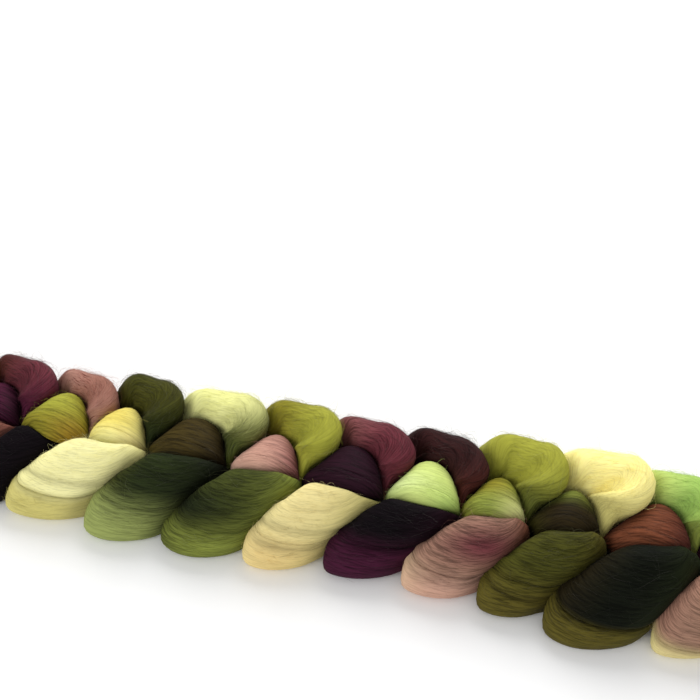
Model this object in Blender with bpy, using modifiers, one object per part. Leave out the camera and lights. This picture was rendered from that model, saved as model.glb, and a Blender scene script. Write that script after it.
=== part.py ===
"""Braid of wool roving: one length of combed top, doubled and looped into a finger-crocheted chain.

The chain lies on its smooth face with its bumps up. It grows towards +X. Each stitch is a loop: the
strand rises from inside the loop before it, swells out over the near side (-Y), turns over the top at
the head, comes back over the far side (+Y), sinks through the loop before it, and makes one bump, the
cap, over the middle. All of it is one strand, pressed into one soft solid with a flat underside.

Lengths in the tables are in pitches, the mean distance from one stitch to the next. The finished
solid is in metres, +Z up, with its origin at the middle of its footprint, on the surface it lies on.
"""
import math
from collections import namedtuple

import bmesh
import bpy
import numpy as np
from mathutils import Vector

# ---- driving dimensions -------------------------------------------------------------------------
PITCH = 0.042                  # mean length of one stitch along the braid, m
FULLNESS = 2.3                 # exponent of the strand's section: 2 is an ellipse, more is boxier
SINK = 0.0030                  # how far the soft underside settles into the surface and flattens, m
ORIGIN_ALONG = 0.14753         # path's zero point to the middle of the footprint, m
ORIGIN_ACROSS = -0.00234       # the same across the braid, m

# ---- how finely the solid is cut ----------------------------------------------------------------
RING_STEP = 0.0042             # distance between the strand's sections, m
RING_SIDES = 20                # points round one section
CURVE_STEPS = 24               # points worked out between two stations of the path
VOXEL = 0.0026                 # grain at which the passes of the strand grow together, m
FACE_BUDGET = 10400            # triangles of the finished solid
MOST_SLANT = 0.7               # how far a section may lean along the strand
LEAST_FACING = 0.35            # below this share of the broad way across the strand, the lean stops growing
TURN_SHARE = 0.3               # share of the turn to its broad way that a section makes from the last one
SLANT_ROUNDS = 6               # times the leans are averaged with their neighbours
SOFTEN_ROUNDS = 2              # times the grown surface is smoothed
SURFACE_SIZE = (0.9, 0.3, 0.05)  # block under the braid that its underside is cut flat with, m

# ---- the stitches -------------------------------------------------------------------------------
# head: where the loop turns over the middle, in pitches; near, cap, far: how plump each lobe is;
# reach: how much further than the near lobe the far one swings forward, in pitches
Stitch = namedtuple("Stitch", "head near cap far reach")
FIRST_BASE = -2.35             # where the head before the first stitch would be
STITCHES = (
    Stitch(-1.35, 1.00, 1.00, 1.00, 0.00),
    Stitch(-0.35, 1.02, 1.00, 0.98, 0.00),
    Stitch(0.62, 0.98, 1.06, 0.86, 0.00),
    Stitch(1.46, 1.06, 0.94, 1.00, 0.06),
    Stitch(2.62, 1.06, 1.00, 1.06, 0.12),
    Stitch(3.60, 0.98, 0.96, 1.06, 0.12),
    Stitch(4.70, 0.98, 1.06, 0.98, 0.00),
    Stitch(5.67, 1.00, 1.00, 0.96, -0.04),
    Stitch(6.48, 1.04, 0.92, 1.12, 0.12),
    Stitch(7.40, 1.00, 0.96, 1.16, 0.24),
    Stitch(8.48, 1.06, 1.02, 1.00, 0.06),
    Stitch(9.45, 1.00, 1.00, 1.00, 0.00),
)

# along: 0 at the head before, 1 at the stitch's own head (below 0 in plain pitches); across and up in
# pitches; wide, thick: the section's two widths; broad: the way its wide side runs
Station = namedtuple("Station", "along across up wide thick broad")
NEAR_LEAN = (0.56, 0.42, 0.72)
FAR_LEAN = (0.50, -0.42, 0.75)
ACROSS = (0.0, 1.0, 0.0)
NEAR_LEG = (
    Station(-0.08, -0.10, 0.42, 0.50, 0.38, (0.0, 1.0, 0.0)),
    Station(-0.38, -0.16, 0.28, 1.06, 0.52, (0.9, 0.3, 0.0)),
    Station(-0.44, -0.44, 0.29, 1.12, 0.52, (0.8, 0.2, 0.4)),
    Station(-0.26, -0.62, 0.40, 1.06, 0.54, NEAR_LEAN),
    Station(0.06, -0.68, 0.48, 1.22, 0.60, NEAR_LEAN),
    Station(0.36, -0.64, 0.53, 1.20, 0.62, NEAR_LEAN),
    Station(0.62, -0.47, 0.54, 0.98, 0.56, (0.25, 0.4, 0.85)),
    Station(0.84, -0.20, 0.52, 0.72, 0.44, (0.1, 0.2, 0.9)),
)
FAR_LEG = (
    Station(1.03, 0.14, 0.54, 0.76, 0.46, (0.1, -0.1, 0.8)),
    Station(1.05, 0.34, 0.57, 1.02, 0.54, (0.3, -0.4, 0.8)),
    Station(0.88, 0.56, 0.57, 1.16, 0.60, FAR_LEAN),
    Station(0.58, 0.70, 0.53, 1.22, 0.62, FAR_LEAN),
    Station(0.22, 0.74, 0.46, 1.14, 0.56, FAR_LEAN),
    Station(-0.16, 0.48, 0.30, 1.08, 0.52, (0.8, -0.2, 0.4)),
    Station(-0.14, 0.20, 0.28, 1.02, 0.52, (0.9, -0.3, 0.0)),
    Station(-0.10, 0.12, 0.42, 0.50, 0.38, (0.0, -1.0, 0.0)),
)
CAP = (
    Station(-0.08, 0.02, 0.57, 0.56, 0.40, ACROSS),
    Station(0.12, 0.00, 0.72, 0.74, 0.46, ACROSS),
    Station(0.44, 0.00, 0.78, 0.92, 0.52, ACROSS),
    Station(0.74, -0.04, 0.71, 0.82, 0.48, ACROSS),
    Station(0.92, -0.08, 0.56, 0.54, 0.40, ACROSS),
)
# the two free ends, in pitches from the first base and from the last head
START_TAIL = (
    Station(-1.22, -0.34, 0.17, 0.30, 0.20, ACROSS),
    Station(-1.12, -0.31, 0.20, 0.62, 0.36, ACROSS),
    Station(-0.84, -0.24, 0.26, 0.88, 0.48, ACROSS),
    Station(-0.46, -0.12, 0.32, 0.80, 0.48, ACROSS),
)
END_TAIL = (
    Station(-0.06, -0.08, 0.40, 0.50, 0.40, ACROSS),
    Station(0.20, -0.04, 0.32, 0.76, 0.48, ACROSS),
    Station(0.60, -0.10, 0.27, 0.92, 0.50, ACROSS),
    Station(1.02, -0.20, 0.21, 0.70, 0.38, ACROSS),
    Station(1.14, -0.26, 0.17, 0.30, 0.20, ACROSS),
)

WOOL_COLOUR = (0.30, 0.31, 0.12, 1.0)
NODE = "roving_braid"


def clear_scene():
    """Empty the scene that the script starts in."""
    for item in list(bpy.data.objects):
        bpy.data.objects.remove(item, do_unlink=True)


def new_collection(name):
    """Link and return a collection of the given name."""
    group = bpy.data.collections.new(name)
    bpy.context.scene.collection.children.link(group)
    return group


def station_row(station, base, span, plump):
    """Place one station between two heads, as along, across, up, wide, thick and the broad way."""
    along = base + station.along * (span if station.along > 0.0 else 1.0)
    return (along, station.across, station.up,
            station.wide * plump, station.thick * plump, *station.broad)


def strand_stations():
    """Rows of the whole strand, from its first free end to its last."""
    rows = [station_row(s, FIRST_BASE, 1.0, 1.0) for s in START_TAIL]
    base = FIRST_BASE
    for stitch in STITCHES:
        span = stitch.head - base
        rows += [station_row(s, base, span, stitch.near) for s in NEAR_LEG]
        rows += [station_row(s, base, span + stitch.reach, stitch.far) for s in FAR_LEG]
        rows += [station_row(s, base, span, stitch.cap) for s in CAP]
        base = stitch.head
    rows += [station_row(s, base, 1.0, 1.0) for s in END_TAIL]
    return np.array(rows)


def smooth_path(rows):
    """Rows of a smooth curve through the stations, evenly spaced along its length."""
    gaps = np.sqrt(np.linalg.norm(np.diff(rows[:, :3], axis=0), axis=1))
    knots = np.concatenate([[0.0], np.cumsum(gaps)])
    slopes = np.empty_like(rows)
    slopes[0] = (rows[1] - rows[0]) / gaps[0]
    slopes[-1] = (rows[-1] - rows[-2]) / gaps[-1]
    for i in range(1, len(rows) - 1):
        before = (rows[i] - rows[i - 1]) / gaps[i - 1]
        after = (rows[i + 1] - rows[i]) / gaps[i]
        slopes[i] = (before * gaps[i] + after * gaps[i - 1]) / (gaps[i - 1] + gaps[i])
    t = np.linspace(0.0, 1.0, CURVE_STEPS, endpoint=False)[:, None]
    pieces = []
    for i, gap in enumerate(np.diff(knots)):
        pieces.append((2 * t**3 - 3 * t**2 + 1) * rows[i] + (t**3 - 2 * t**2 + t) * gap * slopes[i]
                      + (3 * t**2 - 2 * t**3) * rows[i + 1] + (t**3 - t**2) * gap * slopes[i + 1])
    dense = np.concatenate(pieces + [rows[-1:]])
    steps = np.linalg.norm(np.diff(dense[:, :3], axis=0), axis=1)
    length = np.concatenate([[0.0], np.cumsum(steps)])
    count = int(length[-1] * PITCH / RING_STEP) + 1
    places = np.linspace(0.0, length[-1], count)
    return np.stack([np.interp(places, length, dense[:, c]) for c in range(rows.shape[1])], axis=1)


def section_axes(path):
    """For each ring, the thin way and the wide way of its section, turning smoothly with the path."""
    ahead = np.gradient(path[:, :3], axis=0)
    ahead /= np.linalg.norm(ahead, axis=1)[:, None]
    thin_ways, wide_ways, slants = [], [], []
    thin = None
    for way, broad in zip(ahead, path[:, 5:8]):
        size = np.linalg.norm(broad)
        aim = np.cross(way, broad)
        if thin is None:
            thin = aim
        else:
            thin = thin - (thin @ way) * way
            thin /= np.linalg.norm(thin)
            if aim @ thin < 0.0:
                aim, broad = -aim, -broad
            pull = min(1.0, np.linalg.norm(aim) / size) * TURN_SHARE
            thin = thin * (1.0 - pull) + aim / max(np.linalg.norm(aim), 1e-6) * pull
        thin = thin / np.linalg.norm(thin)
        wide = np.cross(way, thin)
        if wide @ broad < 0.0:
            wide = -wide
        flat = broad / size
        flat = flat - (flat @ thin) * thin
        slant = (flat @ way) / max(flat @ wide, LEAST_FACING)
        slants.append(min(MOST_SLANT, max(-MOST_SLANT, slant)) * min(1.0, size))
        thin_ways.append(thin)
        wide_ways.append(wide)
    slants = np.array(slants)
    for _ in range(SLANT_ROUNDS):
        slants[1:-1] = 0.5 * slants[1:-1] + 0.25 * (slants[2:] + slants[:-2])
    return np.array(thin_ways), np.array(wide_ways) + slants[:, None] * ahead


def loft_strand():
    """The strand as one closed tube, lofted between its unlike sections and still passing through
    itself."""
    path = smooth_path(strand_stations())
    thin, wide = section_axes(path)
    angles = np.arange(RING_SIDES) * (2.0 * math.pi / RING_SIDES)
    half_wide, half_thick = path[:, 3] / 2.0, path[:, 4] / 2.0
    radius = (np.abs(np.cos(angles)[None, :] / half_thick[:, None]) ** FULLNESS
              + np.abs(np.sin(angles)[None, :] / half_wide[:, None]) ** FULLNESS) ** (-1.0 / FULLNESS)
    mesh = bmesh.new()
    rings = []
    for centre, thin_way, wide_way, reach in zip(path[:, :3], thin, wide, radius):
        ring = []
        for angle, r in zip(angles, reach):
            point = centre + r * (math.cos(angle) * thin_way + math.sin(angle) * wide_way)
            place = Vector(point) * PITCH - Vector((ORIGIN_ALONG, ORIGIN_ACROSS, SINK))
            ring.append(mesh.verts.new(place))
        rings.append(ring)
    for ring, after in zip(rings, rings[1:]):
        for j in range(RING_SIDES):
            k = (j + 1) % RING_SIDES
            mesh.faces.new((ring[j], ring[k], after[k], after[j]))
    mesh.faces.new(rings[0])
    mesh.faces.new(rings[-1])
    bmesh.ops.recalc_face_normals(mesh, faces=mesh.faces)
    data = bpy.data.meshes.new(NODE)
    mesh.to_mesh(data)
    mesh.free()
    return data


def settled_mesh(item):
    """A plain mesh of an object as its modifiers leave it."""
    seen = item.evaluated_get(bpy.context.evaluated_depsgraph_get())
    return bpy.data.meshes.new_from_object(seen)


def keep_largest_body(data):
    """Delete the sealed pockets that stay between passes, so that one closed body is left."""
    mesh = bmesh.new()
    mesh.from_mesh(data)
    left = set(mesh.verts)
    bodies = []
    while left:
        body, edge = set(), [next(iter(left))]
        while edge:
            vertex = edge.pop()
            if vertex in body:
                continue
            body.add(vertex)
            edge += [e.other_vert(vertex) for e in vertex.link_edges]
        left -= body
        bodies.append(body)
    outer = max(bodies, key=len)
    spare = [v for v in mesh.verts if v not in outer]
    bmesh.ops.delete(mesh, geom=spare, context="VERTS")
    mesh.to_mesh(data)
    mesh.free()


def floor_cutter(guides):
    """A block under the braid, whose top is the surface that the braid lies on."""
    bpy.ops.mesh.primitive_cube_add(size=1.0, location=(0.0, 0.0, -SURFACE_SIZE[2] / 2.0))
    block = bpy.context.object
    block.name = "surface_cutter"
    block.scale = SURFACE_SIZE
    for group in list(block.users_collection):
        group.objects.unlink(block)
    guides.objects.link(block)
    block.hide_render = True
    block.display_type = "WIRE"
    return block


def wool_material():
    """The wool's plain colour and softness."""
    wool = bpy.data.materials.new("dyed_wool")
    wool.use_nodes = True
    shader = wool.node_tree.nodes["Principled BSDF"]
    shader.inputs["Base Color"].default_value = WOOL_COLOUR
    shader.inputs["Roughness"].default_value = 0.75
    shader.inputs["Metallic"].default_value = 0.0
    return wool


def build_braid(parts, guides):
    """Grow the strand's passes together, thin the faces out and flatten the underside."""
    braid = bpy.data.objects.new(NODE, loft_strand())
    parts.objects.link(braid)
    grow = braid.modifiers.new("grow_together", "REMESH")
    grow.mode = "VOXEL"
    grow.voxel_size = VOXEL
    soften = braid.modifiers.new("soften", "SMOOTH")
    soften.factor = 0.5
    soften.iterations = SOFTEN_ROUNDS
    braid.data = settled_mesh(braid)
    braid.modifiers.clear()
    keep_largest_body(braid.data)

    faces = sum(len(p.vertices) - 2 for p in braid.data.polygons)
    thin_out = braid.modifiers.new("thin_out", "DECIMATE")
    thin_out.ratio = min(1.0, FACE_BUDGET / faces)
    thin_out.use_collapse_triangulate = True
    cut = braid.modifiers.new("flat_underside", "BOOLEAN")
    cut.operation = "DIFFERENCE"
    cut.solver = "EXACT"
    cut.object = floor_cutter(guides)
    braid.data.materials.clear()
    braid.data.materials.append(wool_material())
    braid.data.shade_smooth()
    return braid


def main():
    """Build the braid in its own collection, and its cutter in another."""
    clear_scene()
    parts = new_collection("wool_roving_braid")
    guides = new_collection("cutters")
    build_braid(parts, guides)


main()
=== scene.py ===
"""Looks of the braid of wool roving: a finger-crocheted chain of doubled, hand-dyed combed top.

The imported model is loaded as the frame. Its one solid is replaced by two plies of combed top, which
run side by side along the same path as the solid, press on each other where the strand passes over
itself, and carry the fibres, the dyes and the loose hairs.

Lengths are in metres unless a comment says pitches, the mean distance from one stitch to the next. +X
runs along the braid, the way its stitches grow, +Y across it to the far legs, +Z up from the surface.
"""

import logging
import math
from dataclasses import dataclass, field
from enum import Enum
from typing import Callable, NamedTuple

import bpy
import numpy as np
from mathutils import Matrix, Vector


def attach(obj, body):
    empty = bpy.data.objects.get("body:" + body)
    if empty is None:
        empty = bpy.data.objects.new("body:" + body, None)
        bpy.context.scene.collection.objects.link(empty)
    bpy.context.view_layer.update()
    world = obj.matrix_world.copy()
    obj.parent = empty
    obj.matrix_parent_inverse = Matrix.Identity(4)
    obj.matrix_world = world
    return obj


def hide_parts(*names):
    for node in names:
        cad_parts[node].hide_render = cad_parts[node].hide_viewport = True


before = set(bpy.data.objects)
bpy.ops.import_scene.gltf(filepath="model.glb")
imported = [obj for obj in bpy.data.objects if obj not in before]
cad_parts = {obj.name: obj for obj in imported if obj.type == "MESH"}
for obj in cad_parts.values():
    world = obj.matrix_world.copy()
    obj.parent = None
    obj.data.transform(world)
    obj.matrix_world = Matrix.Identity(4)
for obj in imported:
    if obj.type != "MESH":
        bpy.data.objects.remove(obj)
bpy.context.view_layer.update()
LOG = logging.getLogger("roving_braid")
CAD_NODE = "roving_braid"
BODY = "root"
OUTSIDE = 99.0  # a place along a lobe that stands for anywhere clear of it
Socket = bpy.types.NodeSocket


class Dye(Enum):
    """The dyes on the top, as they look on the wool, in sRGB."""

    PALE_CREAM = (0.95, 0.93, 0.68)
    BUTTER = (0.92, 0.89, 0.58)
    WARM_CREAM = (1.00, 0.95, 0.62)
    PALE_LIME = (0.91, 0.91, 0.61)
    YELLOW = (0.90, 0.83, 0.42)
    KHAKI_CREAM = (0.80, 0.76, 0.46)
    TAN_CREAM = (0.90, 0.84, 0.59)
    AMBER_CREAM = (0.90, 0.80, 0.54)
    BLUSH = (0.92, 0.76, 0.67)
    BLUSH_CREAM = (0.88, 0.77, 0.60)
    WHITE_LIME = (0.86, 0.92, 0.66)
    LIME = (0.78, 0.84, 0.48)
    PALE_GREEN = (0.62, 0.76, 0.38)
    SAGE = (0.57, 0.61, 0.35)
    LEAF = (0.52, 0.56, 0.25)
    DEEP_LEAF = (0.33, 0.35, 0.15)
    BRIGHT_OLIVE = (0.63, 0.63, 0.24)
    OLIVE = (0.50, 0.47, 0.15)
    AMBER_OLIVE = (0.54, 0.43, 0.15)
    DULL_OLIVE = (0.33, 0.30, 0.12)
    BROWN_OLIVE = (0.24, 0.20, 0.09)
    MOSS = (0.25, 0.25, 0.09)
    DARK_GREEN = (0.14, 0.17, 0.08)
    BLACK_GREEN = (0.06, 0.07, 0.045)
    DARK_BROWN = (0.15, 0.12, 0.06)
    PINK = (0.80, 0.63, 0.55)
    DUSTY_PINK = (0.73, 0.55, 0.49)
    TAUPE = (0.57, 0.44, 0.37)
    ROSE_TAUPE = (0.62, 0.43, 0.37)
    ROSE_BROWN = (0.50, 0.30, 0.26)
    RED_BROWN = (0.42, 0.24, 0.16)
    MAROON = (0.30, 0.15, 0.13)
    DARK_MAROON = (0.19, 0.10, 0.10)
    PLUM = (0.37, 0.17, 0.20)
    MAUVE = (0.48, 0.29, 0.29)
    PURPLE = (0.30, 0.11, 0.20)
    AUBERGINE = (0.24, 0.09, 0.17)
    DARK_AUBERGINE = (0.14, 0.06, 0.10)
    BLACK_AUBERGINE = (0.055, 0.035, 0.05)

    def linear(self) -> np.ndarray:
        """Give the dye as linear light, red, green and blue."""
        value = np.array(self.value)
        return np.where(value <= 0.04045, value / 12.92, ((value + 0.055) / 1.055) ** 2.4)


class Leg(Enum):
    """Which part of a stitch a stretch of the strand makes."""

    NEAR = 0
    FAR = 1
    CAP = 2
    TAIL = 3


class Station(NamedTuple):
    """A place on the strand: along, across and up, its two widths, and the way its wide side runs.

    Firm is how firmly it presses on the passes that it touches, beside a plain place's 1.
    """

    along: float
    across: float
    up: float
    wide: float
    thick: float
    broad: tuple[float, float, float]
    firm: float = 1.0


class Lobe(NamedTuple):
    """The dyes of one lobe, above and below its split, each at its left, middle and right.

    The split is a share of the half width below the middle, groove its depth as a share of the
    deepest and how much painted shade darkens it, and soft how far the dyes run into each other across it.
    """

    upper: tuple[Dye, Dye, Dye]
    lower: tuple[Dye, Dye, Dye]
    streak: Dye | None = None
    split: float = 0.26
    groove: float = 0.0
    soft: float = 0.4


class Stitch(NamedTuple):
    """One stitch of the chain: its place, how plump its lobes are, how far they lean, and their dyes.

    Head is where the stitch's loop ends along the braid, in pitches. Near, cap and far are what the
    widths of the near leg, the cap and the far leg are multiplied by, and near also how far out its
    leg stands. Reach shifts the right end of the far leg along the braid. Slip shifts the right end
    of the near leg and the left end of the next one.
    """

    head: float
    near: float
    cap: float
    far: float
    reach: float
    slip: float
    near_dyes: Lobe
    far_dyes: Lobe
    cap_dyes: Lobe


D = Dye
FIRST_BASE = -2.35  # where the loop before the first stitch ends, in pitches
STITCHES = (
    Stitch(-1.35, 1.00, 1.00, 1.00, 0.00, 0.00,
           Lobe((D.BUTTER, D.BUTTER, D.KHAKI_CREAM), (D.TAN_CREAM, D.BUTTER, D.TAN_CREAM)),
           Lobe((D.LEAF, D.OLIVE, D.MOSS), (D.LEAF, D.DULL_OLIVE, D.MOSS)),
           Lobe((D.DUSTY_PINK, D.ROSE_TAUPE, D.ROSE_BROWN), (D.PINK, D.DUSTY_PINK, D.ROSE_TAUPE))),
    Stitch(-0.35, 1.00, 1.00, 0.98, 0.00, 0.00,
           Lobe((D.DUSTY_PINK, D.ROSE_TAUPE, D.ROSE_BROWN), (D.PINK, D.ROSE_TAUPE, D.ROSE_BROWN), groove=0.6),
           Lobe((D.MAROON, D.PLUM, D.PURPLE), (D.MAROON, D.AUBERGINE, D.PLUM)),
           Lobe((D.AUBERGINE, D.PURPLE, D.DARK_AUBERGINE), (D.AUBERGINE,) * 3)),
    Stitch(0.62, 0.94, 1.06, 0.86, 0.00, -0.26,
           Lobe((D.BLACK_AUBERGINE,) * 3, (D.DARK_AUBERGINE, D.BLACK_AUBERGINE, D.BLACK_AUBERGINE)),
           Lobe((D.DUSTY_PINK, D.ROSE_TAUPE, D.DUSTY_PINK), (D.PINK, D.DUSTY_PINK, D.ROSE_TAUPE),
                streak=D.MAROON, groove=0.6),
           Lobe((D.LEAF, D.BRIGHT_OLIVE, D.OLIVE), (D.OLIVE, D.OLIVE, D.AMBER_OLIVE), split=0.1)),
    Stitch(1.46, 0.95, 0.94, 1.00, 0.06, 0.12,
           Lobe((D.BUTTER, D.PALE_CREAM, D.BUTTER), (D.KHAKI_CREAM, D.KHAKI_CREAM, D.TAN_CREAM),
                split=0.36, groove=0.7, soft=0.2),
           Lobe((D.MOSS, D.MOSS, D.DARK_GREEN), (D.BROWN_OLIVE, D.MOSS, D.BLACK_GREEN)),
           Lobe((D.YELLOW, D.YELLOW, D.KHAKI_CREAM), (D.YELLOW, D.BUTTER, D.TAN_CREAM))),
    Stitch(2.62, 1.01, 1.00, 1.06, 0.12, 0.04,
           Lobe((D.MOSS, D.DARK_GREEN, D.BLACK_GREEN), (D.SAGE, D.SAGE, D.DEEP_LEAF), split=0.14, soft=0.5),
           Lobe((D.PALE_LIME, D.PALE_LIME, D.LEAF), (D.PALE_LIME, D.PALE_LIME, D.LEAF), split=-0.1),
           Lobe((D.BROWN_OLIVE, D.BROWN_OLIVE, D.DARK_BROWN), (D.DULL_OLIVE, D.BROWN_OLIVE, D.DARK_BROWN),
                soft=0.8)),
    Stitch(3.60, 1.00, 0.96, 1.06, 0.12, 0.06,
           Lobe((D.DARK_GREEN, D.DEEP_LEAF, D.LEAF), (D.BLACK_GREEN, D.DEEP_LEAF, D.LEAF), soft=0.7),
           Lobe((D.OLIVE, D.BRIGHT_OLIVE, D.BRIGHT_OLIVE), (D.OLIVE, D.BRIGHT_OLIVE, D.OLIVE)),
           Lobe((D.BLUSH, D.DUSTY_PINK, D.MAUVE), (D.BLUSH, D.PINK, D.MAUVE), soft=0.8)),
    Stitch(4.70, 0.97, 1.06, 0.98, 0.00, -0.08,
           Lobe((D.TAN_CREAM, D.TAN_CREAM, D.KHAKI_CREAM), (D.TAN_CREAM, D.AMBER_CREAM, D.KHAKI_CREAM),
                split=0.3, groove=0.3),
           Lobe((D.MAUVE, D.PLUM, D.PLUM), (D.ROSE_BROWN, D.PLUM, D.AUBERGINE)),
           Lobe((D.DARK_AUBERGINE,) * 3, (D.DARK_AUBERGINE,) * 3, soft=0.8)),
    Stitch(5.67, 0.89, 1.00, 0.96, -0.04, 0.02,
           Lobe((D.BLACK_AUBERGINE, D.BLACK_AUBERGINE, D.DARK_AUBERGINE),
                (D.DARK_AUBERGINE, D.AUBERGINE, D.PURPLE), split=0.08, groove=0.3),
           Lobe((D.DARK_MAROON, D.DARK_MAROON, D.MAROON), (D.DARK_MAROON, D.DARK_MAROON, D.DARK_BROWN)),
           Lobe((D.PALE_GREEN, D.LIME, D.LIME), (D.LIME, D.LIME, D.PALE_GREEN), soft=0.8)),
    Stitch(6.48, 0.91, 0.92, 1.12, 0.12, 0.14,
           Lobe((D.TAUPE, D.TAUPE, D.RED_BROWN), (D.BLUSH_CREAM, D.PINK, D.ROSE_BROWN),
                split=0.42, groove=0.8, soft=0.3),
           Lobe((D.BRIGHT_OLIVE, D.BRIGHT_OLIVE, D.DEEP_LEAF),
                (D.BRIGHT_OLIVE, D.BRIGHT_OLIVE, D.DULL_OLIVE)),
           Lobe((D.OLIVE, D.OLIVE, D.LEAF), (D.OLIVE, D.LEAF, D.PALE_LIME), split=0.0, soft=0.5)),
    Stitch(7.40, 0.95, 0.96, 1.16, 0.24, 0.16,
           Lobe((D.MOSS, D.MOSS, D.DULL_OLIVE), (D.DULL_OLIVE, D.DULL_OLIVE, D.DULL_OLIVE),
                split=0.16, groove=0.5, soft=0.5),
           Lobe((D.WARM_CREAM, D.WARM_CREAM, D.KHAKI_CREAM), (D.WARM_CREAM, D.WARM_CREAM, D.TAN_CREAM)),
           Lobe((D.DEEP_LEAF, D.LEAF, D.MOSS), (D.MOSS, D.DARK_BROWN, D.DARK_BROWN), split=-0.45, soft=0.5)),
    Stitch(8.48, 1.09, 1.02, 1.00, 0.06, 0.12,
           Lobe((D.DARK_BROWN, D.BLACK_GREEN, D.DARK_GREEN), (D.DULL_OLIVE, D.DULL_OLIVE, D.MOSS),
                split=0.5, groove=0.9, soft=0.15),
           Lobe((D.LIME, D.PALE_GREEN, D.LEAF), (D.LEAF, D.LEAF, D.BRIGHT_OLIVE)),
           Lobe((D.MAROON, D.RED_BROWN, D.MAROON), (D.RED_BROWN, D.RED_BROWN, D.MAROON))),
    Stitch(9.45, 0.99, 1.00, 1.00, 0.00, 0.06,
           Lobe((D.ROSE_TAUPE, D.TAUPE, D.ROSE_BROWN), (D.KHAKI_CREAM, D.TAN_CREAM, D.KHAKI_CREAM),
                split=0.78, groove=0.5, soft=0.25),
           Lobe((D.LIME, D.BRIGHT_OLIVE, D.OLIVE), (D.BRIGHT_OLIVE, D.OLIVE, D.OLIVE)),
           Lobe((D.AUBERGINE, D.DARK_AUBERGINE, D.DARK_AUBERGINE), (D.AUBERGINE,) * 3)),
)
START_DYES = Lobe((D.MOSS, D.OLIVE, D.BUTTER), (D.DARK_GREEN, D.OLIVE, D.BUTTER))
END_DYES = Lobe((D.AUBERGINE, D.PLUM, D.MAUVE), (D.AUBERGINE, D.PLUM, D.DUSTY_PINK))

# The ways that wide sides run, and the strand's stations in pitches from the end of the loop before.
FAR_LEAN = (0.50, -0.42, 0.75)
ACROSS = (0.0, 1.0, 0.0)
NEAR_LEG = (
    Station(-0.08, -0.10, 0.42, 0.50, 0.38, (0.0, 1.0, 0.0), 0.8),
    Station(-0.40, -0.16, 0.28, 0.98, 0.50, (0.9, 0.3, 0.0), 0.6),
    Station(-0.68, -0.47, 0.37, 0.90, 0.48, (0.74, 0.40, 0.49), 0.6),
    Station(-0.49, -0.67, 0.45, 1.06, 0.54, (0.50, 0.47, 0.72), 0.82),
    Station(-0.06, -0.73, 0.49, 1.22, 0.62, (0.42, 0.48, 0.78), 1.18),
    Station(0.42, -0.64, 0.50, 1.10, 0.60, (0.40, 0.48, 0.76), 1.5),
    Station(0.78, -0.44, 0.50, 0.76, 0.50, (0.38, 0.48, 0.74), 1.5),
    Station(0.94, -0.17, 0.47, 0.52, 0.40, (0.33, 0.42, 0.79), 1.2),
)
FAR_LEG = (
    Station(0.99, 0.05, 0.55, 0.66, 0.44, (0.1, -0.1, 0.8), 1.2),
    Station(1.01, 0.32, 0.57, 1.02, 0.68, (0.3, -0.4, 0.8), 1.3),
    Station(0.85, 0.54, 0.56, 1.16, 0.68, FAR_LEAN, 1.35),
    Station(0.57, 0.68, 0.53, 1.22, 0.65, FAR_LEAN, 1.2),
    Station(0.22, 0.74, 0.46, 1.14, 0.56, FAR_LEAN, 0.9),
    Station(-0.16, 0.48, 0.30, 1.08, 0.52, (0.8, -0.2, 0.4), 0.7),
    Station(-0.14, 0.20, 0.28, 1.02, 0.52, (0.9, -0.3, 0.0), 0.6),
    Station(-0.10, 0.12, 0.42, 0.50, 0.38, (0.0, -1.0, 0.0), 0.6),
)
CAP = (
    Station(-0.06, 0.00, 0.48, 0.50, 0.36, ACROSS, 0.8),
    Station(0.14, -0.02, 0.62, 0.68, 0.44, ACROSS),
    Station(0.44, 0.00, 0.77, 0.92, 0.52, ACROSS),
    Station(0.74, -0.03, 0.73, 0.86, 0.50, ACROSS, 1.1),
    Station(0.92, -0.08, 0.56, 0.54, 0.40, ACROSS),
)
START_TAIL = (
    Station(-1.22, -0.34, 0.17, 0.30, 0.20, ACROSS),
    Station(-1.12, -0.31, 0.20, 0.62, 0.36, ACROSS),
    Station(-0.84, -0.24, 0.26, 0.88, 0.48, ACROSS),
    Station(-0.46, -0.12, 0.32, 0.80, 0.48, ACROSS),
)
END_TAIL = (
    Station(-0.06, -0.08, 0.40, 0.50, 0.40, ACROSS),
    Station(0.20, -0.04, 0.32, 0.76, 0.48, ACROSS),
    Station(0.60, -0.10, 0.27, 0.92, 0.50, ACROSS),
    Station(1.02, -0.20, 0.21, 0.70, 0.38, ACROSS),
    Station(1.14, -0.26, 0.17, 0.30, 0.20, ACROSS),
)
# Where each lobe's left, middle and right lie, in stations from the first of its leg.
START_SHOWS = (0.0, 1.5, 3.0)
NEAR_SHOWS = (2.4, 4.2, 6.4)
FAR_SHOWS = (4.4, 2.7, -0.3)
CAP_SHOWS = (0.3, 2.0, 3.4)
END_SHOWS = (1.0, 2.5, 4.0)


class Splash(NamedTuple):
    """A spot on a lobe where another dye has run in.

    Along goes from 0 at the lobe's left end to 1 at its right, across from -1 at its lower edge to 1
    at its upper. Long and broad are its sizes on those scales.
    """

    stitch: int
    leg: Leg
    along: float
    across: float
    long: float
    broad: float
    strength: float
    dye: Dye


class Crease(NamedTuple):
    """A fold between locks of fibre, from one place on a lobe to another, deep and wide in pitches."""

    stitch: int
    leg: Leg
    start: tuple[float, float]
    stop: tuple[float, float]
    depth: float
    width: float = 0.05


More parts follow.
